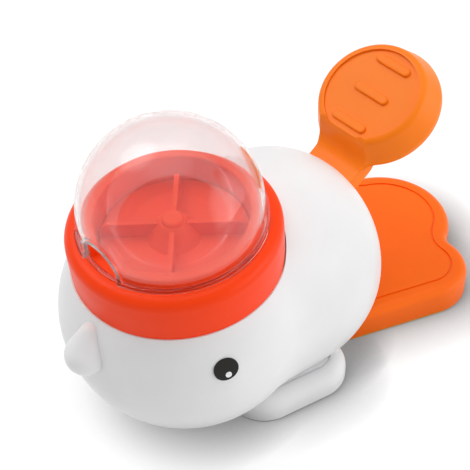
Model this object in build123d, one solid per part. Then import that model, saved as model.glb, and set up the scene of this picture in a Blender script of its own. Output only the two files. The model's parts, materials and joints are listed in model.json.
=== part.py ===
"""Push button treat dispenser: a duck-shaped pet feeder that throws out a treat
when the pedal at its tail is pressed.

Millimetres, +Z up. The duck faces -X, its tail plate and pedal point to +X.
Everything is first laid out about the head (x = 0 at the head centre) and then
moved along X so that the middle of the whole object stands at x = 0.
"""
import math
import os

from build123d import *

os.makedirs("parts", exist_ok=True)

# ------------------------------------------------------------------ body form
head_r = 65.0          # radius of the round head
head_sink = 9.0        # how far the floor cuts into the head
rear_x = 78.5          # rear egg centre, behind the head centre
rear_drop = 12.7       # rear egg centre below the head centre
rear_long = 39.2       # half length of the rear egg
rear_slim = 6.2        # half width of the rear egg is this much under the head's
rear_blunt = 0.163     # how much blunter the egg is at its far end
waist_head_deg = 77.5  # where the head arc hands over to the waist
egg_degs = (96.0, 70.0, 42.0, 18.0)  # stations round the rear egg
wall = 3.0             # shell wall
floor_gap = 1.0        # underside of the base above the floor
base_thick = 4.0       # thickness of the base cover

# ------------------------------------------------------------- hopper collar
tilt_deg = 5.7         # hopper axis leans forward by this much
collar_wall = 7.5      # collar wall outside the dome's bore
collar_draft = 0.4     # collar slimmer at the seam by this much
collar_top = 61.5      # collar top, along the axis from the head centre
collar_shoulder = 6.0  # rounding of the collar's shoulder
collar_draft_top = 49.0  # height where the collar reaches its full radius
collar_gap = 0.3       # gap between collar and the shell well
spigot_in = 5.4        # collar spigot that drops into the shell, inside the seam
spigot_deep = 6.0      # reach of the spigot below the seat
spigot_wall = 2.0
ledge_drop = 4.0       # ledge that carries bowl and dome, below the collar top
ledge_thick = 3.0
ledge_gap = 0.3        # gap between the ledge and the bowl's wall

# --------------------------------------------------------------------- dome
dome_r = 46.2          # outer radius of the clear dome
dome_wall = 2.0
dome_h = 71.3          # sphere centre of the dome along the hopper axis
dome_fit = 0.3         # gap between the dome skirt and the collar bore
dome_seat = 0.05       # gap under the dome skirt
dome_flange = 1.5      # flange outside the skirt
dome_flange_high = 2.4
lug_count = 3
lug_first_deg = 272.0
lug_wide = 14.8
lug_side_gap = 0.8
lug_out = 1.2
lug_high = 2.4
lug_gap = 0.4
arch_wide = 25.0       # treat exit in the dome
arch_high = 17.5
arch_rim = 2.0         # border round the exit
arch_rim_out = 1.1

# ---------------------------------------------------------- bowl, turntable
ring_wall = 5.1        # raised ring round the treat pit
ring_round = 1.2
bowl_wall = 2.5
bowl_gap = 0.6         # ring clear of the dome inside
ring_stand = 6.5       # ring above the collar top
bowl_floor_h = 45.0    # underside of the bowl floor
bowl_floor_thick = 3.0
chute_wide = 23.0
chute_floor_h = 58.4   # inner end of the chute floor
chute_rise = 3.4       # chute floor climbs this much to the exit
table_gap = 0.5        # turntable clear of the bowl
table_thick = 2.6
table_lift = 0.8       # turntable clear of the bowl floor
cone_low_r = 14.0
cone_top_r = 6.5
cone_high = 10.0
vane_count = 4
vane_thick = 2.4
vane_high = 9.0
shaft_r = 3.0
shaft_fit = 0.02       # shaft in a pressed hub
shaft_run = 0.05       # shaft in a running bore
bush_wall = 2.0
bush_flange = 1.6
bush_flange_thick = 1.0

# -------------------------------------------------------------------- pedal
hinge_ahead = 3.5      # hinge in front of the rear egg centre
hinge_up = 48.7        # hinge above the base cover, room for sector, rack and tray
pedal_deg = 31.0       # pedal slope at rest
press_deg = 27.0       # pedal travel
neck_half = 15.5
neck_low = -0.5        # underside of the neck, square to the pedal, from the hinge
neck_high = 11.5       # top of the neck
neck_ramp_start = 48.0  # where the neck's top climbs to the paddle
neck_ramp_end = 63.0
paddle_far = 85.2      # paddle centre from the hinge
paddle_r = 34.6        # paddle rim
paddle_face_r = 29.5   # paddle top face
paddle_low = 6.5       # underside of the paddle
paddle_rim = 12.4      # height of its widest line
paddle_high = 26.7     # its top face
paddle_top_round = 4.0
paddle_low_round = 4.0
neck_blend = 13.0
neck_round = 3.0
neck_start = 12.0      # inner end of the neck from the hinge
recess_r = 26.3
recess_deep = 1.2
grip_long = 23.0
grip_wide = 5.0
grip_pitch = 19.2
slot_gap = 0.5         # shell slot round the neck
slot_round = 1.0
axle_r = 3.0
axle_half = 26.0
clip_out = 3.0
clip_thick = 1.2
hub_r = 8.5
hub_half = 18.5
cheek_gap = 0.5
cheek_thick = 4.0
tongue_long = 30.0
tongue_thick = 6.0
tongue_side = 12.0
tongue_bite = 6.0      # lever screws reach this far into the neck

# ------------------------------------------------------------------ gearing
module = 1.5
pressure_deg = 20.0
pinion_teeth = 12
sector_teeth = 32
gear_add = 1.5         # addendum of the pinion and the sector
rack_add = 1.05        # addendum of the rack
root_gap = 0.3
slack = 0.24           # width taken off each tooth at the pitch line
rack_wide = 6.2        # rack bar, across
rack_high = 7.0        # rack bar, along the hopper axis
rack_run = 0.25        # rack bar clear of its guides
sector_thick = 5.5
face_gap = 0.2
pinion_neck_r = 7.0
carrier_r = 13.0       # plate that carries the pawls
carrier_thick = 1.6
ratchet_thick = 4.0
ratchet_teeth = 12
ratchet_tip = 7.6
ratchet_root = 6.2
rack_teeth_spare = 22.0  # toothed length for the pinion, beyond the travel
pawl_x = 10.6          # pawl post
pawl_y = 2.4
pawl_r = 1.4
finger_x = 9.35        # pawl finger
finger_y = 0.9
finger_long = 4.2
finger_thick = 1.4
guide_back = 56.0      # rear end of the rack guides
guide_wall = 3.0

# ------------------------------------------------- webbed feet (tail, wings)
plate_top = 18.0
plate_round = 5.0
sole_thick = 2.0
sole_inset = 1.2
lobe_x = 155.0         # middle lobe of the tail plate
lobe_r = 38.0
side_x = 143.0         # side lobes
side_y = 41.0
side_r = 25.0
notch_round = 9.0
web_x = 80.0           # front of the tail plate, under the body
web_y = 34.0
web_r = 9.0
groove_in = 8.5
groove_wide = 1.3
groove_deep = 0.8
wing_front_x = 19.5     # rounded front end of the wing
wing_front_in = 26.0     # its centre, inside the side of the head
wing_front_r = 19.5
wing_back_x = 47.5      # rounded rear end of the wing
wing_back_in = 15.3      # its centre, inside the side of the rear egg
wing_back_r = 21.0
wing_top = 15.0
wing_round = 8.0
wing_groove_in = 8.5

# --------------------------------------------------------------- face detail
beak_top_deg = 19.8    # upper end of the beak: above the head's level
beak_top_in = 0.2      # its centre, inside the head's surface
beak_top_r = 5.0
beak_tip_deg = 7.8     # lower end of the beak
beak_tip_out = 0.6     # its centre, outside the head's surface
beak_tip_r = 10.6
eye_r = 6.3
eye_out = 0.7
eye_deep = 1.2
eye_side_deg = 66.7    # eye round from the front
eye_up_deg = 13.3
glint_r = 1.6
glint_back = 0.9       # glint from the eye's middle, towards the tail
glint_down = 3.1       # and downwards
glint_out = 0.3

# ----------------------------------------------------------------- fasteners
screw_r = 1.5
screw_head_r = 2.8
screw_head_high = 2.0
screw_fit = 0.02
base_screw_long = 10.0
pad_in = 11.0          # pad edge inside the wings' front centres
pad_gap = 1.0
collar_screw_in = 2.7   # collar screws inside the collar's side
pad_sink = 1.2

# ------------------------------------------------------------ derived values
head_z = head_r - head_sink
rear_z = head_z - rear_drop
rear_side = head_r - rear_slim
hinge_x = rear_x - hinge_ahead
base_top = floor_gap + base_thick
hinge_z = base_top + hinge_up
ledge_h = collar_top - ledge_drop
bowl_top = collar_top + ring_stand
wing_front_y = head_r - wing_front_in
pad_r = wing_front_y - pad_in
wing_back_y = rear_side - wing_back_in
tilt = math.radians(tilt_deg)
sin_t = math.sin(tilt)
cos_t = math.cos(tilt)
AXIS = Pos(0, 0, head_z) * Rot(0, -tilt_deg, 0)
PEDAL = Pos(hinge_x, 0, hinge_z) * Rot(0, -pedal_deg, 0)
PRESSED = Pos(hinge_x, 0, hinge_z) * Rot(0, press_deg - pedal_deg, 0)

beak_tip_a = math.radians(beak_tip_deg)
beak_top_a = math.radians(beak_top_deg)
beak_tip = (
    -(head_r + beak_tip_out) * math.cos(beak_tip_a),
    head_z + (head_r + beak_tip_out) * math.sin(beak_tip_a),
)
beak_top = (
    -(head_r - beak_top_in) * math.cos(beak_top_a),
    head_z + (head_r - beak_top_in) * math.sin(beak_top_a),
)
beak_front = beak_tip[0] - beak_tip_r
plate_back = lobe_x + lobe_r
head_x = -(beak_front + plate_back) / 2

bore_r = dome_r + dome_fit
collar_r = bore_r + collar_wall
collar_low_r = collar_r - collar_draft
collar_screw_r = collar_r - collar_screw_in
spigot_r = collar_low_r - spigot_in
well_r = collar_r + collar_gap
seat_h = math.sqrt(head_r ** 2 - well_r ** 2)
ring_r = dome_r - dome_wall - bowl_gap
bowl_in_r = ring_r - ring_wall
ledge_in_r = bowl_in_r + bowl_wall + ledge_gap
table_h = bowl_floor_h + bowl_floor_thick + table_lift
table_r = bowl_in_r - table_gap

hinge_u = hinge_x * cos_t + (hinge_z - head_z) * sin_t
hinge_h = -hinge_x * sin_t + (hinge_z - head_z) * cos_t
pinion_r = module * pinion_teeth / 2
sector_r = module * sector_teeth / 2
pitch = math.pi * module
rack_travel = sector_r * math.radians(press_deg)
rack_pitch_h = hinge_h - sector_r
rack_root_h = rack_pitch_h - gear_add - root_gap
rack_low_h = rack_root_h - rack_high
rack_y0 = pinion_r + gear_add + root_gap
rack_y1 = rack_y0 + rack_wide
sector_y0 = rack_y0 + (rack_wide - sector_thick) / 2
tray_top = rack_low_h - rack_run
tray_thick = 3.0
tray_low = tray_top - tray_thick
cheek_y0 = hub_half + cheek_gap
cheek_y1 = cheek_y0 + cheek_thick


# ------------------------------------------------------------------- helpers
def save(solid, name):
    """Move a piece into the shared frame and write it."""
    placed = Pos(head_x, 0, 0) * solid
    pieces = placed.solids()
    shape = pieces[0] if len(pieces) == 1 else Compound(children=list(pieces))
    shape.label = name
    export_step(shape, "parts/" + name + ".step")
    return placed


def spin(points):
    """Revolve a closed outline of (radius, height) points about the Z axis."""
    face = make_face(Polyline(*[(r, 0, h) for r, h in points], close=True))
    return revolve(face, Axis.Z, 360)


def disc(radius, low, high, x=0.0, y=0.0):
    """Upright cylinder between two heights."""
    return Pos(x, y, (low + high) / 2) * Cylinder(radius, high - low)


def tube(outer, inner, low, high, x=0.0, y=0.0):
    return disc(outer, low, high, x, y) - disc(inner, low - 1, high + 1, x, y)


def block(x0, x1, y0, y1, z0, z1):
    middle = Pos((x0 + x1) / 2, (y0 + y1) / 2, (z0 + z1) / 2)
    return middle * Box(x1 - x0, y1 - y0, z1 - z0)


def mirror_y(solid):
    return mirror(solid, about=Plane.XZ)


def body_form(inset):
    """Round head running back into the egg-shaped rear, drawn in by inset."""
    span = math.hypot(rear_x, rear_z - head_z)
    lean = math.degrees(math.atan2(rear_z - head_z, rear_x))
    head = CenterArc((0, 0), head_r - inset, 180, waist_head_deg - 180)
    egg = []
    for deg in egg_degs:
        a = math.radians(deg)
        side = (rear_side - inset) * math.sin(a) * (1 - rear_blunt * math.cos(a))
        egg.append((span + (rear_long - inset) * math.cos(a), side))
    tail_end = (span + rear_long - inset, 0)
    back = Spline(head @ 1, *egg, tail_end, tangents=[head % 1, (0, -1)])
    shut = Line(back @ 1, head @ 0)
    form = revolve(make_face([head, back, shut]), Axis.X, 360)
    return Pos(0, 0, head_z) * Rot(0, -lean, 0) * form


def dome_form(radius, low):
    """Half ball on a straight skirt, about the Z axis."""
    skirt = Polyline((0, dome_h + radius), (0, low), (radius, low), (radius, dome_h))
    cap_arc = CenterArc((0, dome_h), radius, 0, 90)
    face = Plane.XZ * make_face([skirt, cap_arc])
    return revolve(face, Axis.Z, 360)


def involute(radius, base):
    """Angle rolled out by an involute between its base circle and radius."""
    if radius <= base:
        return 0.0
    t = math.sqrt((radius / base) ** 2 - 1)
    return t - math.atan(t)


def gear_face(teeth, addendum, dedendum, first_deg):
    """Outline of a spur gear with a tooth centred on first_deg."""
    radius = module * teeth / 2
    base = radius * math.cos(math.radians(pressure_deg))
    root = radius - dedendum
    tip = radius + addendum
    half = (pitch / 2 - slack) / 2 / radius + involute(radius, base)
    steps = 5
    start = max(root, base)
    flank = [start + (tip - start) * i / steps for i in range(steps + 1)]
    if root < base:
        flank.insert(0, root)
    points = []
    for k in range(teeth):
        middle = math.radians(first_deg) + 2 * math.pi * k / teeth
        for r in flank:
            a = middle - half + involute(r, base)
            points.append((r * math.cos(a), r * math.sin(a)))
        for r in reversed(flank):
            a = middle + half - involute(r, base)
            points.append((r * math.cos(a), r * math.sin(a)))
    return make_face(Polyline(*points, close=True))


def rack_teeth(middle, low, high, depth_root):
    """Outline of straight rack teeth pointing to +Y, one centred on middle."""
    lean = math.tan(math.radians(pressure_deg))
    half = (pitch / 2 - slack) / 2
    wide = half + depth_root * lean
    slim = half - rack_add * lean
    first = math.ceil((low + wide - middle) / pitch)
    last = math.floor((high - wide - middle) / pitch)
    teeth = []
    for k in range(first, last + 1):
        c = middle + k * pitch
        corners = [(c - wide, -depth_root), (c + wide, -depth_root)]
        corners += [(c + slim, rack_add), (c - slim, rack_add)]
        teeth.append(make_face(Polyline(*corners, close=True)))
    return teeth


def screw(length):
    """Pan-head screw hanging down from z = 0, head above."""
    body = disc(screw_r, -length, 0)
    head = disc(screw_head_r, 0, screw_head_high)
    head = fillet(head.edges().group_by(Axis.Z)[-1], 0.8)
    cross = block(-1.6, 1.6, -0.35, 0.35, screw_head_high - 0.8, 3)
    cross += block(-0.35, 0.35, -1.6, 1.6, screw_head_high - 0.8, 3)
    return body + head - cross


# ---------------------------------------------------------------- body shell
above_floor = block(-200, 300, -100, 100, floor_gap, 300)
above_base = block(-200, 300, -100, 100, base_top, 300)
outer = body_form(0) & above_floor
inner = body_form(wall)

slot_near = 18.0
slot_far = 90.0
slot_corners = [
    (PEDAL * Pos(slot_near, 0, neck_high + slot_gap)).position,
    (PEDAL * Pos(slot_far, 0, neck_high + slot_gap)).position,
    (PRESSED * Pos(slot_far, 0, neck_low - slot_gap)).position,
    (PRESSED * Pos(slot_near, 0, neck_low - slot_gap)).position,
]
slot_half = neck_half + slot_gap
slot_face = make_face(Polyline(*slot_corners, close=True))
slot = extrude(slot_face, amount=slot_half, dir=(0, 1, 0), both=True)
slot_side_edges = slot.edges().filter_by(lambda e: abs(e.center().Y) > slot_half - 0.1)
slot_long_edges = slot_side_edges.filter_by(lambda e: e.length > slot_far / 2)
slot = fillet(slot_long_edges, slot_round)

well_wall = AXIS * tube(well_r + wall, well_r, seat_h - wall, seat_h + 80)
seat_ring = AXIS * tube(well_r + wall, spigot_r + collar_gap, seat_h - wall, seat_h)
well_cut = AXIS * disc(well_r, seat_h, seat_h + 120)
top_hole = AXIS * disc(spigot_r + collar_gap, seat_h - 2 * wall, seat_h + 1)

cheek_low = block(hinge_x - 10, hinge_x + 10, cheek_y0, cheek_y1, floor_gap + 1, hinge_z)
cheek_eye = Pos(hinge_x, (cheek_y0 + cheek_y1) / 2, hinge_z) * (
    Rot(90, 0, 0) * Cylinder(10, cheek_thick)
)
cheek = cheek_low + cheek_eye
cheeks = cheek + mirror_y(cheek)
axle_hole = Pos(hinge_x, 0, hinge_z) * (Rot(90, 0, 0) * Cylinder(axle_r + shaft_fit, 80))

spring_x = hinge_x + 12.0
spring_y = -3.0
spring_r = 5.5
spring_wire = 0.7
spring_low = 22.0
spring_top = hinge_z - 12.0
spring_post = disc(8.0, 5, spring_low, spring_x, spring_y)

hollow = inner & above_base
shell = (outer & above_base) - hollow
shell += (well_wall + seat_ring) & outer & above_base
shell = shell - well_cut - top_hole - slot - axle_hole

# eyes sit in shallow pockets on the head
eye_side = math.radians(eye_side_deg)
eye_up = math.radians(eye_up_deg)
eye_dir = Vector(
    -math.cos(eye_side) * math.cos(eye_up),
    -math.sin(eye_side) * math.cos(eye_up),
    math.sin(eye_up),
)
eye_back = Vector(math.sin(eye_side), -math.cos(eye_side), 0)
eye_plane = Plane(origin=Vector(0, 0, head_z), x_dir=eye_back, z_dir=eye_dir)
head_ball = Pos(0, 0, head_z) * Sphere(head_r - eye_deep)
eye_ball = Pos(0, 0, head_z) * Sphere(head_r + eye_out)
eye_rod = eye_plane * disc(eye_r, head_r - 12, head_r + 12)
eye_near = (eye_rod & eye_ball) - head_ball
glint_spot = eye_plane * disc(glint_r, head_r - 2, head_r + 12, glint_back, -glint_down)
glint_ball = Pos(0, 0, head_z) * Sphere(head_r + eye_out + glint_out)
glint_floor = Pos(0, 0, head_z) * Sphere(head_r)
glint_near = (glint_spot & glint_ball) - glint_floor
eye_near = eye_near - glint_near
shell = shell - eye_rod - mirror_y(eye_rod) + (
    (eye_rod + mirror_y(eye_rod)) & head_ball & outer - inner
)

# ---------------------------------------------------------------------- beak
beak_lean = math.atan2(beak_top[1] - beak_tip[1], beak_top[0] - beak_tip[0])
beak_span = math.hypot(beak_top[0] - beak_tip[0], beak_top[1] - beak_tip[1])
taper = math.asin((beak_tip_r - beak_top_r) / beak_span)
low_pt = (beak_tip_r * math.sin(taper), beak_tip_r * math.cos(taper))
top_pt = (beak_span + beak_top_r * math.sin(taper), beak_top_r * math.cos(taper))
low_arc = CenterArc((0, 0), beak_tip_r, 180, -(90 + math.degrees(taper)))
top_arc = CenterArc((beak_span, 0), beak_top_r, 90 - math.degrees(taper), math.degrees(taper) - 90)
beak_side_line = Line(low_arc @ 1, top_arc @ 0)
beak_shut = Line(top_arc @ 1, low_arc @ 0)
beak_form = revolve(make_face([low_arc, beak_side_line, top_arc, beak_shut]), Axis.X, 360)
beak_form = Pos(beak_tip[0], 0, beak_tip[1]) * Rot(0, -math.degrees(beak_lean), 0) * beak_form
collar_room = AXIS * disc(well_r + collar_gap, seat_h - collar_gap, collar_top)
beak = beak_form - outer - collar_room

# ------------------------------------------------------------ base and soles
base_zone = block(-200, 300, -100, 100, floor_gap, base_top)
base_cover = outer & base_zone
pad_pocket = disc(pad_r, 0, pad_sink + floor_gap)
base_pad = disc(pad_r, 0, pad_sink + floor_gap)
base_cover = base_cover + (cheeks + spring_post) - pad_pocket - axle_hole

leg_spots = [(-19.0, -14.0), (-21.0, 15.0), (42.0, 1.0)]
leg_r = 5.0
base_screw_spots = leg_spots
for sx, sy in base_screw_spots:
    base_cover -= disc(screw_r + screw_fit, 0, 10, sx, sy)
    base_cover -= disc(screw_head_r + screw_fit, -1, pad_sink + floor_gap + screw_head_high, sx, sy)

# ---------------------------------------------------------------- tail plate
lobe = Pos(lobe_x, 0) * Circle(lobe_r)


def web(sign):
    ends = Pos(web_x, sign * web_y) * Circle(web_r)
    side = Pos(side_x, sign * side_y) * Circle(side_r)
    return make_hull(ends.edges() + side.edges())


middle_web = make_hull(
    (Pos(web_x, web_y) * Circle(web_r)).edges()
    + (Pos(web_x, -web_y) * Circle(web_r)).edges()
    + (Pos(lobe_x, 0) * Circle(lobe_r - 6)).edges()
)
tail_plan = lobe + web(1) + web(-1) + middle_web
tail_plan = offset(offset(tail_plan, notch_round), -notch_round)
tail_plate = extrude(tail_plan, amount=plate_top - sole_thick)
tail_plate = Pos(0, 0, sole_thick) * tail_plate
tail_plate = fillet(tail_plate.edges().group_by(Axis.Z)[-1], plate_round)
groove_plan = offset(tail_plan, -groove_in) - offset(tail_plan, -groove_in - groove_wide)
groove = Pos(0, 0, plate_top - groove_deep) * extrude(groove_plan, amount=3)
tail_plate = tail_plate - groove - outer
sole_plan = offset(tail_plan, -sole_inset)
tail_sole = extrude(sole_plan, amount=sole_thick) - outer

# --------------------------------------------------------------------- wings
wing_ends = (Pos(wing_front_x, -wing_front_y) * Circle(wing_front_r)).edges()
wing_ends += (Pos(wing_back_x, -wing_back_y) * Circle(wing_back_r)).edges()
wing_plan = make_hull(wing_ends)
wing = Pos(0, 0, sole_thick) * extrude(wing_plan, amount=wing_top - sole_thick)
wing = fillet(wing.edges().group_by(Axis.Z)[-1], wing_round)
wing_groove = offset(wing_plan, -wing_groove_in) - offset(wing_plan, -wing_groove_in - groove_wide)
wing = wing - Pos(0, 0, wing_top - groove_deep) * extrude(wing_groove, amount=3) - outer
wing_sole = extrude(offset(wing_plan, -sole_inset), amount=sole_thick) - outer
wing_sole -= disc(pad_r + pad_gap, -1, sole_thick + 1)
wing_near = wing.solids().sort_by(lambda s: s.volume)[-1]
wing_sole_near = wing_sole.solids().sort_by(lambda s: s.volume)[-1]
tail_plate = tail_plate.solids().sort_by(lambda s: s.volume)[-1]
tail_sole = tail_sole.solids().sort_by(lambda s: s.volume)[-1]

# -------------------------------------------------------------------- collar
collar_points = [
    (collar_low_r, seat_h),
    (collar_r, collar_draft_top),
    (collar_r, collar_top),
    (bore_r, collar_top),
    (bore_r, ledge_h),
    (ledge_in_r, ledge_h),
    (ledge_in_r, ledge_h - ledge_thick),
    (spigot_r - spigot_wall, ledge_h - ledge_thick),
    (spigot_r - spigot_wall, seat_h - spigot_deep),
    (spigot_r, seat_h - spigot_deep),
    (spigot_r, seat_h),
]
collar = spin(collar_points)
shoulder_edge = collar.edges().filter_by(
    lambda e: abs(e.bounding_box().max.X - collar_r) < 0.01
    and abs(e.center().Z - collar_top) < 0.01
)
collar = fillet(shoulder_edge, collar_shoulder)
lug_angles = [lug_first_deg + 360.0 * k / lug_count for k in range(lug_count)]
lug_low = ledge_h + 0.6
notch_half = lug_wide / 2 + lug_side_gap
for a in lug_angles:
    notch = tube(bore_r + lug_out + lug_gap, bore_r - 2, ledge_h, collar_top + 1)
    wedge = Rot(0, 0, a) * block(0, 80, -notch_half, notch_half, ledge_h, collar_top + 1)
    collar = collar - (notch & wedge)
collar = AXIS * collar

# ---------------------------------------------------------------------- dome
skirt_low = ledge_h + dome_seat
outside = dome_form(dome_r, skirt_low)
inside = dome_form(dome_r - dome_wall, skirt_low - 1)
flange_low = collar_top + dome_seat
flange = disc(dome_r + dome_flange, flange_low, flange_low + dome_flange_high)
lugs = None
for a in lug_angles:
    ring = disc(bore_r + lug_out, lug_low, lug_low + lug_high)
    lug = ring & (Rot(0, 0, a) * block(dome_r - 1.5, 80, -lug_wide / 2, lug_wide / 2, lug_low, lug_low + 5))
    lugs = lug if lugs is None else lugs + lug


def arch_prism(grow):
    """Arch-shaped bar through the front of the dome."""
    half = arch_wide / 2 + grow
    foot = flange_low
    straight = arch_high - arch_wide / 2
    legs = block(-80, -30, -half, half, foot, foot + straight)
    top = Pos(-55, 0, foot + straight) * (Rot(0, 90, 0) * Cylinder(half, 50))
    keep = block(-80, -30, -60, 60, foot, foot + 60)
    return (legs + top) & keep


rim_ball = dome_form(dome_r + arch_rim_out, skirt_low)
arch_border = (arch_prism(arch_rim) - arch_prism(0)) & rim_ball
dome_cover = (outside + flange + lugs + arch_border) - inside - arch_prism(0)
dome_cover = AXIS * dome_cover

# ---------------------------------------------------------------------- bowl
bowl_points = [
    (0, bowl_floor_h),
    (bowl_in_r + bowl_wall, bowl_floor_h),
    (bowl_in_r + bowl_wall, ledge_h),
    (ring_r, ledge_h),
    (ring_r, bowl_top),
    (bowl_in_r, bowl_top),
    (bowl_in_r, bowl_floor_h + bowl_floor_thick),
    (0, bowl_floor_h + bowl_floor_thick),
]
bowl = spin(bowl_points)
bowl = fillet(bowl.edges().group_by(Axis.Z)[-1], ring_round)
chute_end = ring_r + 2
chute_side = [
    (-bowl_in_r + 3, chute_floor_h),
    (-chute_end, chute_floor_h + chute_rise),
    (-chute_end, bowl_top + 5),
    (-bowl_in_r + 3, bowl_top + 5),
]
chute_face = make_face(Polyline(*[(u, 0, h) for u, h in chute_side], close=True))
chute_cut = extrude(chute_face, amount=chute_wide / 2, dir=(0, 1, 0), both=True)
bush_r = shaft_r + shaft_run + bush_wall
bowl = bowl - chute_cut - disc(bush_r + shaft_fit, 0, 60)
hopper_bowl = AXIS * bowl


def flanged_bush(low, high, flange_above):
    """Plain bush with a flange on one end."""
    sleeve = disc(bush_r, low, high)
    if flange_above:
        rim = disc(bush_r + bush_flange, high, high + bush_flange_thick)
    else:
        rim = disc(bush_r + bush_flange, low - bush_flange_thick, low)
    return AXIS * (sleeve + rim - disc(shaft_r + shaft_run, -200, 200))


upper_bush = flanged_bush(bowl_floor_h, bowl_floor_h + bowl_floor_thick, False)

# ----------------------------------------------------------------- turntable
table = disc(table_r, table_h, table_h + table_thick)
cone = Pos(0, 0, table_h + table_thick + cone_high / 2) * Cone(cone_low_r, cone_top_r, cone_high)
table_top = table_h + table_thick
table += cone
for k in range(vane_count):
    vane = block(cone_top_r, table_r - 1.0, -vane_thick / 2, vane_thick / 2, table_top, table_top + vane_high)
    far_edge = vane.edges().filter_by(Axis.Y).sort_by(lambda e: e.center().X + e.center().Z)[-1]
    vane = fillet(far_edge, 6.0)
    table += Rot(0, 0, 45 + 360 * k / vane_count) * vane
table -= disc(shaft_r + shaft_fit, 0, 200)
turntable = AXIS * table

shaft_low = tray_low - 1.5
shaft_high = table_top + cone_high
turntable_shaft = AXIS * disc(shaft_r, shaft_low, shaft_high)
cap_low = shaft_high
cap = disc(5.5, cap_low, cap_low + 2.6)
cap = fillet(cap.edges().group_by(Axis.Z)[-1], 1.6)
turntable_cap = AXIS * cap

# ---------------------------------------------------- pinion, ratchet, pawls
pinion_low = rack_low_h + 0.3
pinion_high = rack_root_h - 0.3
pinion_2d = gear_face(pinion_teeth, gear_add, rack_add + root_gap, 90 + 180 / pinion_teeth)
pinion = Pos(0, 0, pinion_low) * extrude(pinion_2d, amount=pinion_high - pinion_low)
carrier_low = rack_root_h + rack_run
carrier_high = carrier_low + carrier_thick
pinion += disc(pinion_neck_r, pinion_high - 0.1, carrier_low + 0.1)
pinion += disc(carrier_r, carrier_low, carrier_high)
pinion -= disc(shaft_r + shaft_run, -200, 200)
drive_pinion = AXIS * pinion

ratchet_low = carrier_high + face_gap
ratchet_high = ratchet_low + ratchet_thick
ratchet_points = []
for k in range(ratchet_teeth):
    a = 2 * math.pi * k / ratchet_teeth
    b = a + 2 * math.pi / ratchet_teeth * 0.06
    ratchet_points.append((ratchet_tip * math.cos(a), ratchet_tip * math.sin(a)))
    ratchet_points.append((ratchet_root * math.cos(b), ratchet_root * math.sin(b)))
ratchet_face = make_face(Polyline(*ratchet_points, close=True))
ratchet = Pos(0, 0, ratchet_low) * extrude(ratchet_face, amount=ratchet_thick)
ratchet -= disc(shaft_r + shaft_fit, -200, 200)
ratchet_wheel = AXIS * ratchet

pawls = None
for k in range(2):
    post = disc(pawl_r, carrier_high, ratchet_high, pawl_x, pawl_y)
    finger = Pos(finger_x, finger_y, (carrier_high + ratchet_high) / 2) * (
        Rot(0, 0, 58) * Box(finger_long, finger_thick, ratchet_high - carrier_high)
    )
    arm = (post + finger) - disc(ratchet_tip + 0.2, -200, 200)
    arm = Rot(0, 0, 180 * k + 8) * arm
    pawls = arm if pawls is None else pawls + arm
pawls = AXIS * pawls

# ---------------------------------------------------------------------- rack
rack_front = -9.0
rack_back = hinge_u + rack_travel + 3.2
bar = block(rack_front, rack_back, rack_y0, rack_y1, rack_low_h, rack_root_h)
depth = gear_add + root_gap
for tooth in rack_teeth(0.0, rack_front, rack_front + rack_travel + rack_teeth_spare, depth):
    solid = extrude(tooth, amount=rack_high)
    bar += Pos(0, pinion_r, rack_low_h) * Rot(180, 0, 0) * Pos(0, 0, -rack_high) * solid
for tooth in rack_teeth(hinge_u, hinge_u - 6.5, rack_back + 0.2, depth):
    solid = extrude(Plane.XZ * tooth, amount=rack_wide)
    bar += Pos(0, rack_y1, rack_pitch_h) * solid
back_cut = make_face(Polyline(
    (rack_back + 1, 0, rack_low_h - 1),
    (rack_back + 1, 0, rack_low_h + 5.5),
    (rack_back - 7, 0, rack_low_h - 1),
    close=True,
))
bar -= extrude(back_cut, amount=60, dir=(0, 1, 0), both=True)
rack = AXIS * bar

# ---------------------------------------------------------------------- tray
tray_front = -27.0
tray_back = 58.0
tray_y0 = -22.0
tray_y1 = rack_y1 + rack_run + guide_wall
tray = block(tray_front, tray_back, tray_y0, tray_y1, tray_low, tray_top)
tray += block(rack_front - rack_travel - 2, guide_back, rack_y1 + rack_run, tray_y1, tray_top, rack_root_h)
tray += block(34.0, guide_back, rack_y0 - rack_run - 2.6, rack_y0 - rack_run, tray_top, rack_root_h)
tray -= disc(bush_r + shaft_fit, -200, 200)
tray = AXIS * tray
for lx, ly in leg_spots:
    post = disc(leg_r, base_top, head_z - 30, lx, ly)
    cover_all = AXIS * block(-200, 300, -100, 100, tray_low + 0.01, 200)
    tray += post - cover_all
    tray -= disc(screw_r + screw_fit, 0, base_top + base_screw_long, lx, ly)
gear_tray = tray
lower_bush = flanged_bush(tray_low, tray_top, False)

keeper_low = rack_root_h + rack_run
keeper = block(36, 48, rack_y0 - rack_run - 2.6, tray_y1, keeper_low - rack_run, keeper_low + 2.0)
keeper -= block(30, 60, rack_y0 - rack_run, rack_y1 + rack_run, rack_low_h, keeper_low)
rack_keeper = AXIS * keeper

base_screws = None
for sx, sy in base_screw_spots:
    one = Pos(sx, sy, pad_sink + floor_gap + screw_head_high) * (Rot(180, 0, 0) * screw(base_screw_long))
    base_screws = one if base_screws is None else base_screws + one

# --------------------------------------------------------- pedal and lever
paddle_plan = Pos(paddle_far, 0) * Circle(paddle_r)
neck_plan = Pos((neck_start + paddle_far) / 2, 0) * Rectangle(paddle_far - neck_start, 2 * neck_half)
pedal_plan = paddle_plan + neck_plan
neck_points = [v for v in pedal_plan.vertices() if neck_start + 5 < v.X < paddle_far - 5]
pedal_plan = fillet(neck_points, neck_blend)
skirt = Pos(0, 0, paddle_low) * extrude(pedal_plan, amount=paddle_rim - paddle_low)
skirt = fillet(skirt.edges().group_by(Axis.Z)[0], paddle_low_round)
draft = math.degrees(math.atan2(paddle_r - paddle_face_r, paddle_high - paddle_rim))
crown = Pos(0, 0, paddle_rim) * extrude(pedal_plan, amount=paddle_high - paddle_rim, taper=draft)
crown = fillet(crown.edges().group_by(Axis.Z)[-1], paddle_top_round)
neck = block(neck_start, paddle_far, -neck_half, neck_half, neck_low, paddle_rim)
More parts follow.
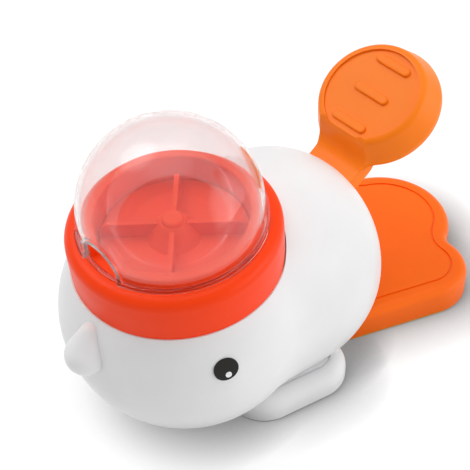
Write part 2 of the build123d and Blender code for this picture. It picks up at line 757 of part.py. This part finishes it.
neck = fillet(neck.edges().filter_by(Axis.X), neck_round)
over_line = Spline(
    (neck_ramp_start, 0, neck_high),
    (neck_ramp_end, 0, paddle_high + 0.5),
    tangents=[(1, 0, 0), (1, 0, 0.4)],
)
over = make_face([
    over_line,
    Line(over_line @ 1, (neck_ramp_end, 0, paddle_high + 20)),
    Line((neck_ramp_end, 0, paddle_high + 20), (-20, 0, paddle_high + 20)),
    Line((-20, 0, paddle_high + 20), (-20, 0, neck_high)),
    Line((-20, 0, neck_high), over_line @ 0),
])
under = make_face(Polyline(
    (-20, 0, neck_low),
    (paddle_far - paddle_r, 0, neck_low),
    (paddle_far - recess_r + 6, 0, paddle_low),
    (paddle_far + 2 * paddle_r, 0, paddle_low),
    (paddle_far + 2 * paddle_r, 0, -40),
    (-20, 0, -40),
    close=True,
))
pedal = skirt + crown + neck
pedal -= extrude(over, amount=60, dir=(0, 1, 0), both=True)
pedal -= extrude(under, amount=60, dir=(0, 1, 0), both=True)
recess = disc(recess_r, paddle_high - recess_deep, paddle_high + 5, paddle_far, 0)
pedal -= recess
for k in (-1, 0, 1):
    grip = Pos(paddle_far + k * grip_pitch, 0) * SlotOverall(grip_long, grip_wide, rotation=90)
    ridge = Pos(0, 0, paddle_high - recess_deep - 0.2) * extrude(grip, amount=recess_deep + 0.6)
    ridge = fillet(ridge.edges().group_by(Axis.Z)[-1], 1.0)
    pedal += ridge
tongue_screws_at = [(17.0, 0.0), (25.5, 0.0)]
for px, py in tongue_screws_at:
    pedal -= disc(screw_r + screw_fit, neck_low - 1, neck_low + tongue_bite + 1, px, py)
pedal_shell = PEDAL * pedal

sector_2d = gear_face(sector_teeth, gear_add, rack_add + root_gap, -90 + 180 / sector_teeth)
sector_2d = Plane.XZ * sector_2d
sector = Pos(0, sector_y0 + sector_thick, 0) * extrude(sector_2d, amount=sector_thick)
reach = 2 * sector_r
wedge_front = math.radians(7.5)
wedge_back = math.radians(press_deg + 7.5)
sector_zone = make_face(Polyline(
    (0, 0, 6),
    (-reach * math.sin(wedge_front), 0, -reach * math.cos(wedge_front)),
    (0, 0, -reach),
    (reach * math.sin(wedge_back), 0, -reach * math.cos(wedge_back)),
    close=True,
))
sector &= extrude(sector_zone, amount=60, dir=(0, 1, 0), both=True)
hub = Rot(90, 0, 0) * Cylinder(hub_r, 2 * hub_half)
tongue_y1 = sector_y0 + sector_thick
tongue_low = neck_low - tongue_thick
tongue = block(0, tongue_long, -tongue_side, tongue_y1, tongue_low, neck_low)
lever_at_rest = PEDAL * (hub + tongue)
sector_at_rest = AXIS * (Pos(hinge_u, 0, hinge_h) * sector)
spring_pad = disc(6.2, spring_top, spring_top + 14, spring_x, spring_y)
neck_plane_cut = PEDAL * block(-60, 120, -60, 60, neck_low, 60)
spring_pad -= neck_plane_cut
lever = lever_at_rest + sector_at_rest + spring_pad
lever -= Pos(hinge_x, 0, hinge_z) * (Rot(90, 0, 0) * Cylinder(axle_r + shaft_run, 80))
for px, py in tongue_screws_at:
    lever -= PEDAL * disc(screw_r + screw_fit, -30, 0, px, py)
pedal_lever = lever
tongue_screws = None
for px, py in tongue_screws_at:
    one = PEDAL * (Pos(px, py, tongue_low) * (Rot(180, 0, 0) * screw(tongue_thick + tongue_bite)))
    tongue_screws = one if tongue_screws is None else tongue_screws + one
for px, py in tongue_screws_at:
    pedal_lever -= PEDAL * disc(screw_head_r + 0.3, -40, tongue_low, px, py)

axle = Rot(90, 0, 0) * Cylinder(axle_r, 2 * axle_half)
pedal_axle = Pos(hinge_x, 0, hinge_z) * axle
clip = Rot(90, 0, 0) * (Cylinder(axle_r + clip_out, clip_thick) - Cylinder(axle_r + shaft_fit, 3))
clip = Pos(hinge_x, cheek_y1 + clip_thick / 2, hinge_z) * clip
axle_clips = clip + mirror_y(clip)

# -------------------------------------------------------------------- spring
spring_turns = 7
coil_low = spring_low + spring_wire
coil_high = spring_top - spring_wire - 0.1
helix = Helix((coil_high - coil_low) / spring_turns, coil_high - coil_low, spring_r - spring_wire)
helix = Pos(spring_x, spring_y, coil_low) * helix
start = helix @ 0
wire_plane = Plane(origin=start, z_dir=helix % 0)
coil = sweep(wire_plane * Circle(spring_wire), path=helix)
return_spring = coil

# -------------------------------------------------------------- collar screws
collar_screws = None
for k in range(3):
    a = math.radians(60 + 120 * k)
    cx = collar_screw_r * math.cos(a)
    cy = collar_screw_r * math.sin(a)
    spot = Pos(cx, cy, seat_h - wall)
    hole = AXIS * (spot * disc(screw_r + screw_fit, -1, wall + 7.0))
    shell -= AXIS * (spot * disc(screw_r + screw_fit, -6, wall + 1.0))
    collar -= hole
    one = AXIS * (spot * (Rot(180, 0, 0) * screw(wall + 6.5)))
    shell -= AXIS * (spot * disc(screw_head_r + 0.2, -6, 0))
    collar_screws = one if collar_screws is None else collar_screws + one

# --------------------------------------------------------------------- write
save(shell, "body_shell")
save(base_cover, "base_cover")
save(base_pad, "base_pad")
save(beak, "beak")
save(eye_near, "eye_near")
save(mirror_y(eye_near), "eye_far")
save(glint_near, "eye_glint_near")
save(mirror_y(glint_near), "eye_glint_far")
save(wing_near, "wing_near")
save(mirror_y(wing_near), "wing_far")
save(wing_sole_near, "wing_sole_near")
save(mirror_y(wing_sole_near), "wing_sole_far")
save(tail_plate, "tail_plate")
save(tail_sole, "tail_sole")
save(collar, "hopper_collar")
save(hopper_bowl, "hopper_bowl")
save(dome_cover, "dome_cover")
save(turntable, "turntable")
save(turntable_shaft, "turntable_shaft")
save(turntable_cap, "turntable_cap")
save(upper_bush, "upper_bush")
save(lower_bush, "lower_bush")
save(drive_pinion, "drive_pinion")
save(ratchet_wheel, "ratchet_wheel")
save(pawls, "ratchet_pawls")
save(rack, "drive_rack")
save(rack_keeper, "rack_keeper")
save(gear_tray, "gear_tray")
save(pedal_shell, "pedal")
save(pedal_lever, "pedal_lever")
save(tongue_screws, "lever_screws")
save(pedal_axle, "pedal_axle")
save(axle_clips, "axle_clips")
save(return_spring, "return_spring")
save(base_screws, "base_screws")
save(collar_screws, "collar_screws")
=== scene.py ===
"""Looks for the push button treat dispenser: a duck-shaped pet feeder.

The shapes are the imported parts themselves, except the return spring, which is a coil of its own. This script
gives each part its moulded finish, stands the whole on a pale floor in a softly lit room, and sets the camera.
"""

import json
import math

import bpy
from mathutils import Matrix, Vector


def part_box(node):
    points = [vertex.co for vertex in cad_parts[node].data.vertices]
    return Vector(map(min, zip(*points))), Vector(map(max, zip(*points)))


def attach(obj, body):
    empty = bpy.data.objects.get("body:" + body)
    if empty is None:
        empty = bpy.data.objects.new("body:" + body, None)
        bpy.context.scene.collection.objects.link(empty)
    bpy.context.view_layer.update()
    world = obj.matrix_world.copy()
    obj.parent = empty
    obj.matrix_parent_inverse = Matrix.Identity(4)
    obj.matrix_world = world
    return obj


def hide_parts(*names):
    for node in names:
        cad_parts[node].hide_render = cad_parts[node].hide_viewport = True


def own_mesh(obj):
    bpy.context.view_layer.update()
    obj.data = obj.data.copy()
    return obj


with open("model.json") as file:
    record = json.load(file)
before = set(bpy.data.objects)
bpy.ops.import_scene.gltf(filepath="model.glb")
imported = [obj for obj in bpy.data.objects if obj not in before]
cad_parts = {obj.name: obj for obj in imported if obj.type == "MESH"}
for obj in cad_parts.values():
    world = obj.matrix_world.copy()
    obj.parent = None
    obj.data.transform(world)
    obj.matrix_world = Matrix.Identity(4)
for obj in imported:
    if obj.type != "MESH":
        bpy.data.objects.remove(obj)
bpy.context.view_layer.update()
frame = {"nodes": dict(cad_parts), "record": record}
nodes = frame["nodes"]
scene = bpy.context.scene

MM = 0.001


# ------------------------------------------------------------------ materials
def math_node(tree, operation, first, second):
    """A maths node of two values, each a socket or a plain number."""
    node = tree.nodes.new("ShaderNodeMath")
    node.operation = operation
    for socket, value in zip(node.inputs, (first, second)):
        if isinstance(value, float):
            socket.default_value = value
        else:
            tree.links.new(value, socket)
    return node.outputs["Value"]


TONE_STOPS = (0.3, 0.7)   # where a noise has reached the darker and the lighter tone


class Finish:
    """A procedural surface: one Principled shader fed by fine noise, so nothing is flat."""

    def __init__(self, name):
        self.mat = bpy.data.materials.new(name)
        self.mat.use_nodes = True
        self.tree = self.mat.node_tree
        self.shader = self.tree.nodes["Principled BSDF"]
        self.place = self.add("ShaderNodeTexCoord").outputs["Object"]

    def add(self, kind, **values):
        node = self.tree.nodes.new(kind)
        for key, value in values.items():
            setattr(node, key, value)
        return node

    def feed(self, output, socket):
        self.tree.links.new(output, self.shader.inputs[socket])

    def math(self, operation, first, second):
        return math_node(self.tree, operation, first, second)

    def noise(self, scale, detail=3.0):
        """Noise from 0 to 1, with scale cycles to the metre."""
        node = self.add("ShaderNodeTexNoise")
        node.inputs["Scale"].default_value = scale
        node.inputs["Detail"].default_value = detail
        self.tree.links.new(self.place, node.inputs["Vector"])
        return node.outputs["Fac"]

    def between(self, fac, low, high, start=0.0):
        """Scale a value that runs from start to 1 into low..high."""
        node = self.add("ShaderNodeMapRange")
        self.tree.links.new(fac, node.inputs["Value"])
        node.inputs["From Min"].default_value = start
        node.inputs["To Min"].default_value = low
        node.inputs["To Max"].default_value = high
        return node.outputs["Result"]

    def two_tone(self, fac, dark, light):
        """Blend two colours by a noise."""
        node = self.add("ShaderNodeValToRGB")
        for stop, position, colour in zip(node.color_ramp.elements, TONE_STOPS, (dark, light)):
            stop.position = position
            stop.color = (*colour, 1)
        self.tree.links.new(fac, node.inputs["Fac"])
        return node.outputs["Color"]

    def bump(self, height, strength, distance):
        node = self.add("ShaderNodeBump")
        node.inputs["Strength"].default_value = strength
        node.inputs["Distance"].default_value = distance
        self.tree.links.new(height, node.inputs["Height"])
        self.feed(node.outputs["Normal"], "Normal")

    def set(self, **values):
        for key, value in values.items():
            self.shader.inputs[key.replace("_", " ")].default_value = value


def shade(colour, factor):
    return tuple(min(1.0, c * factor) for c in colour)


# Each family has its two tones, as shares of the colour, and (scale, detail) of the noises of colour, gloss and
# grain. The grain's depth is in metres.
PLASTIC = dict(tones=(0.965, 1.02), cloud=(28.0, 4.0), gloss=(90.0, 3.0), grain=(1900.0, 2.0), depth=0.2 * MM)
RUBBER = dict(tones=(0.85, 1.1), cloud=(45.0, 5.0), gloss=(160.0, 3.0), grain=(1200.0, 3.0), depth=0.3 * MM)
STEEL = dict(tones=(0.85, 1.1), cloud=(300.0, 3.0), gloss=(700.0, 3.0), grain=(2500.0, 3.0), depth=0.2 * MM)

PLASTIC_IOR = 1.5
COAT_ROUGHNESS = 0.12


def textured(name, colour, rough, bump, family):
    """A finish whose colour, gloss and grain each follow a noise of their own."""
    f = Finish(name)
    dark, light = (shade(colour, tone) for tone in family["tones"])
    f.feed(f.two_tone(f.noise(*family["cloud"]), dark, light), "Base Color")
    f.feed(f.between(f.noise(*family["gloss"]), *rough), "Roughness")
    f.bump(f.noise(*family["grain"]), bump, family["depth"])
    return f


def plastic(name, colour, rough, grain=0.02, coat=0.0, specular=0.2):
    """Moulded plastic: a very fine spark-eroded grain, slightly uneven colour and gloss."""
    f = textured(name, colour, rough, grain, PLASTIC)
    f.set(IOR=PLASTIC_IOR, Specular_IOR_Level=specular)
    if coat:
        f.set(Coat_Weight=coat, Coat_Roughness=COAT_ROUGHNESS)
    return f.mat


def rubber(name, colour):
    f = textured(name, colour, (0.6, 0.8), 0.12, RUBBER)
    f.set(Specular_IOR_Level=0.35)
    return f.mat


def steel(name, colour):
    f = textured(name, colour, (0.22, 0.4), 0.06, STEEL)
    f.set(Metallic=1.0)
    return f.mat


DOME_IOR = 1.49
DOME_ALPHA_SEEN = 0.92
DOME_ALPHA_LIT = 0.12     # for shadow and diffuse rays
DOME_TONES = ((0.985, 0.975, 0.975), (1.0, 0.99, 0.99))


def clear_dome(name):
    """Clear polished plastic. Shadow and diffuse rays pass almost freely, so the bowl below stays lit."""
    f = Finish(name)
    ray = f.add("ShaderNodeLightPath").outputs
    soft = f.math("MAXIMUM", ray["Is Shadow Ray"], ray["Is Diffuse Ray"])
    f.feed(f.between(soft, DOME_ALPHA_SEEN, DOME_ALPHA_LIT), "Alpha")
    f.feed(f.two_tone(f.noise(60.0, 4.0), *DOME_TONES), "Base Color")
    f.feed(f.between(f.noise(120.0), 0.01, 0.03), "Roughness")
    f.set(IOR=DOME_IOR, Transmission_Weight=1.0, Specular_IOR_Level=0.5)
    return f.mat


WHITE = (0.80, 0.80, 0.805)
RED = (0.96, 0.052, 0.003)
PEDAL_ORANGE = (0.98, 0.210, 0.003)
TAIL_ORANGE = (0.98, 0.150, 0.002)

finishes = {
    "shell_white": plastic("shell_white", WHITE, rough=(0.3, 0.4)),
    "base_white": plastic("base_white", shade(WHITE, 0.92), rough=(0.45, 0.6), grain=0.05),
    "pad_grey": rubber("pad_grey", (0.06, 0.06, 0.065)),
    "eye_black": plastic("eye_black", (0.008, 0.007, 0.005), rough=(0.12, 0.2), coat=0.1),
    # eye_white colours the white glint discs on the eyes: a painted highlight.
    "eye_white": plastic("eye_white", (0.85, 0.85, 0.85), rough=(0.15, 0.25)),
    "sole_grey": rubber("sole_grey", (0.32, 0.32, 0.33)),
    "tail_orange": plastic("tail_orange", TAIL_ORANGE, rough=(0.34, 0.44)),
    "sole_yellow": rubber("sole_yellow", (0.75, 0.45, 0.05)),
    "collar_red": plastic("collar_red", RED, rough=(0.3, 0.4), specular=0.14),
    "bowl_coral": plastic("bowl_coral", RED, rough=(0.32, 0.42), specular=0.14),
    "dome_clear": clear_dome("dome_clear"),
    "table_coral": plastic("table_coral", shade(RED, 0.95), rough=(0.34, 0.44)),
    "steel": steel("steel", (0.55, 0.55, 0.56)),
    "spring_steel": steel("spring_steel", (0.45, 0.45, 0.47)),
    "gear_natural": plastic("gear_natural", (0.72, 0.70, 0.63), rough=(0.4, 0.5), grain=0.04),
    "pedal_orange": plastic("pedal_orange", PEDAL_ORANGE, rough=(0.32, 0.42)),
    "lever_orange": plastic("lever_orange", shade(PEDAL_ORANGE, 0.9), rough=(0.4, 0.55), grain=0.05),
}

for part in frame["record"]["subparts"]:
    shape = nodes[part["node"]]
    shape.data.materials.clear()
    shape.data.materials.append(finishes[part["material_slot"]])


# -------------------------------------------------------------- return spring
SPRING_WIRE_R = 0.7 * MM
SPRING_TURNS = 7
CLOSED_PITCH = 2.05       # rise of a closed turn, in wire radii
STEPS_PER_TURN = 40
WIRE_SIDES = 12


def coil_spring(name, low, high, wire, turns):
    """Compression spring that fills the box from low to high, with one closed turn at each end."""
    ring = (high[0] - low[0]) / 2 - wire
    middle = Vector(((low[0] + high[0]) / 2, (low[1] + high[1]) / 2, low[2] + wire))
    rise = high[2] - low[2] - 2 * wire
    closed_pitch = CLOSED_PITCH * wire
    open_pitch = (rise - 2 * closed_pitch) / (turns - 2)
    open_steps = range(STEPS_PER_TURN, (turns - 1) * STEPS_PER_TURN)
    verts, faces = [], []
    height = 0.0
    for step in range(turns * STEPS_PER_TURN + 1):
        pitch = open_pitch if step in open_steps else closed_pitch
        angle = 2 * math.pi * step / STEPS_PER_TURN
        outward = Vector((math.cos(angle), math.sin(angle), 0.0))
        along = Vector((-math.sin(angle), math.cos(angle), pitch / (2 * math.pi * ring))).normalized()
        across = along.cross(outward)
        centre = middle + ring * outward + Vector((0.0, 0.0, height))
        for side in range(WIRE_SIDES):
            turn = 2 * math.pi * side / WIRE_SIDES
            verts.append(centre + wire * (math.cos(turn) * outward + math.sin(turn) * across))
        height += pitch / STEPS_PER_TURN
    for first in range(0, turns * STEPS_PER_TURN * WIRE_SIDES, WIRE_SIDES):
        for side in range(WIRE_SIDES):
            a, b = first + side, first + (side + 1) % WIRE_SIDES
            faces.append((a, b, b + WIRE_SIDES, a + WIRE_SIDES))
    faces.append(tuple(reversed(range(WIRE_SIDES))))
    faces.append(tuple(range(len(verts) - WIRE_SIDES, len(verts))))
    mesh = bpy.data.meshes.new(name)
    mesh.from_pydata(verts, [], faces)
    mesh.shade_smooth()
    spring = bpy.data.objects.new(name, mesh)
    scene.collection.objects.link(spring)
    return spring


# The imported spring is rigid. This one takes its place.
spring_low, spring_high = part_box("return_spring")
return_coil = coil_spring("return_coil", spring_low, spring_high, SPRING_WIRE_R, SPRING_TURNS)
return_coil.data.materials.append(finishes["spring_steel"])
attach(return_coil, "housing")
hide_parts("return_spring")
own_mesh(return_coil)

# ---------------------------------------------------------------------- floor
FLOOR_HALF = 3.0
FLOOR_Z = -0.2 * MM
FLOOR_LIGHT = 0.92        # colour that lights the object
FLOOR_SEEN = 0.35         # colour where the floor is looked at, with the glow on top
FLOOR_GLOW = 0.70
MOTTLE_LOW = 0.995
PAINTED_SHADOW_SAMPLES = 16
PAINTED_SHADOW_REACH = 26 * MM
# leans the contact shade to the side where the photo's shadow lies
PAINTED_SHADOW_LEAN = (-0.74, 0.6, 0.55)   # leans the painted contact shadow to the side where the object's cast shadow lies
PAINTED_SHADOW_START = 0.35      # openness up to which the painted shadow is full
PAINTED_SHADOW_DARKEST = 0.28

floor_mesh = bpy.data.meshes.new("floor")
corners = [(-1, -1), (1, -1), (1, 1), (-1, 1)]
floor_mesh.from_pydata([(x * FLOOR_HALF, y * FLOOR_HALF, FLOOR_Z) for x, y in corners], [], [(0, 1, 2, 3)])
floor = bpy.data.objects.new("floor", floor_mesh)
scene.collection.objects.link(floor)

# Looked at straight, in a mirror or through the dome, the paper glows white of itself. The object is lit only by
# its colour.
paper = Finish("floor_paper")
ray = paper.add("ShaderNodeLightPath").outputs
mirrored = paper.math("MAXIMUM", ray["Is Glossy Ray"], ray["Is Transmission Ray"])
seen = paper.math("MAXIMUM", ray["Is Camera Ray"], mirrored)
bright = paper.between(seen, FLOOR_LIGHT, FLOOR_SEEN)
mottle = paper.between(paper.noise(3.0), MOTTLE_LOW, 1.0)

# Painted contact shadow: an ambient-occlusion test, leaned to one side, darkens the floor's colour and its glow
# next to the object.
painted_shadow_ao = paper.add("ShaderNodeAmbientOcclusion", samples=PAINTED_SHADOW_SAMPLES)
painted_shadow_ao.inputs["Distance"].default_value = PAINTED_SHADOW_REACH
painted_shadow_lean = paper.add("ShaderNodeCombineXYZ")
for socket, value in zip(painted_shadow_lean.inputs, Vector(PAINTED_SHADOW_LEAN).normalized()):
    socket.default_value = value
paper.tree.links.new(painted_shadow_lean.outputs["Vector"], painted_shadow_ao.inputs["Normal"])
painted_contact_shadow = paper.between(painted_shadow_ao.outputs["AO"], PAINTED_SHADOW_DARKEST, 1.0, start=PAINTED_SHADOW_START)

paper.feed(paper.math("MULTIPLY", paper.math("MULTIPLY", bright, mottle), painted_contact_shadow), "Base Color")
paper.feed(paper.math("MULTIPLY", paper.between(seen, 0.0, FLOOR_GLOW), painted_contact_shadow), "Emission Strength")
paper.set(Roughness=0.9, Specular_IOR_Level=0.1, Emission_Color=(1.0, 1.0, 1.0, 1.0))
floor.data.materials.append(paper.mat)

# ----------------------------------------------------------------------- room
ROOM_LEVEL = 0.39
WHITE_LEVEL = 1.0
# Each soft box has its direction, the angles from it at which it is full and has faded out, and its strength.
SOFT_BOXES = (
    ((0.05, 0.1, 1.0), 8, 40, 1.55),      # overhead
    ((-0.2, 0.8, 1.0), 6, 24, 3.3),       # high, behind the object
    ((0.75, -0.95, 0.22), 8, 38, 2.7),    # low, at the right of the picture
)

world = bpy.data.worlds.new("studio")
scene.world = world
world.use_nodes = True
sky = world.node_tree
background = sky.nodes["Background"]
room = sky.nodes.new("ShaderNodeTexCoord").outputs["Generated"]


def soft_box(direction, full_deg, faded_deg, strength):
    """Glow round a direction, full inside one angle and faded to nothing at the other."""
    toward = sky.nodes.new("ShaderNodeVectorMath")
    toward.operation = "DOT_PRODUCT"
    sky.links.new(room, toward.inputs[0])
    toward.inputs[1].default_value = Vector(direction).normalized()
    fade = sky.nodes.new("ShaderNodeMapRange")
    fade.interpolation_type = "SMOOTHSTEP"
    fade.inputs["From Min"].default_value = math.cos(math.radians(faded_deg))
    fade.inputs["From Max"].default_value = math.cos(math.radians(full_deg))
    fade.inputs["To Max"].default_value = strength
    sky.links.new(toward.outputs["Value"], fade.inputs["Value"])
    return fade.outputs["Result"]


lit = soft_box(*SOFT_BOXES[0])
for box in SOFT_BOXES[1:]:
    lit = math_node(sky, "ADD", lit, soft_box(*box))
lit = math_node(sky, "ADD", lit, ROOM_LEVEL)

# Camera and transmission rays see plain white, and glossy rays see white or a brighter soft box.
path = sky.nodes.new("ShaderNodeLightPath").outputs
clear = math_node(sky, "MAXIMUM", path["Is Camera Ray"], path["Is Transmission Ray"])
level = sky.nodes.new("ShaderNodeMix")
level.data_type = "FLOAT"
factor, dim, white = level.inputs[0], level.inputs[2], level.inputs[3]
sky.links.new(clear, factor)
sky.links.new(lit, dim)
white.default_value = WHITE_LEVEL
shown = math_node(sky, "MAXIMUM", level.outputs[0], path["Is Glossy Ray"])
sky.links.new(shown, background.inputs["Strength"])
background.inputs["Color"].default_value = (1, 1, 1, 1)

# --------------------------------------------------------------------- camera
AZIMUTH = math.radians(-43.207)
ELEVATION = math.radians(43.366)
FOCAL_PX = 1500.0
IMAGE_PX = 470.0
SENSOR_MM = 36.0
EYE_POINT = Vector((-0.4087885, -0.410479, 0.612267))

backward = Vector((
    math.sin(AZIMUTH) * math.cos(ELEVATION),
    -math.cos(AZIMUTH) * math.cos(ELEVATION),
    math.sin(ELEVATION),
))
rightward = Vector((math.cos(AZIMUTH), math.sin(AZIMUTH), 0.0))
upward = backward.cross(rightward)
lens = bpy.data.cameras.new("camera")
lens.sensor_width = SENSOR_MM
lens.lens = SENSOR_MM * FOCAL_PX / IMAGE_PX
camera = bpy.data.objects.new("camera", lens)
turned = Matrix((rightward, upward, backward)).transposed().to_4x4()
camera.matrix_world = Matrix.Translation(EYE_POINT) @ turned
scene.collection.objects.link(camera)
scene.camera = camera

scene.view_settings.view_transform = "Standard"
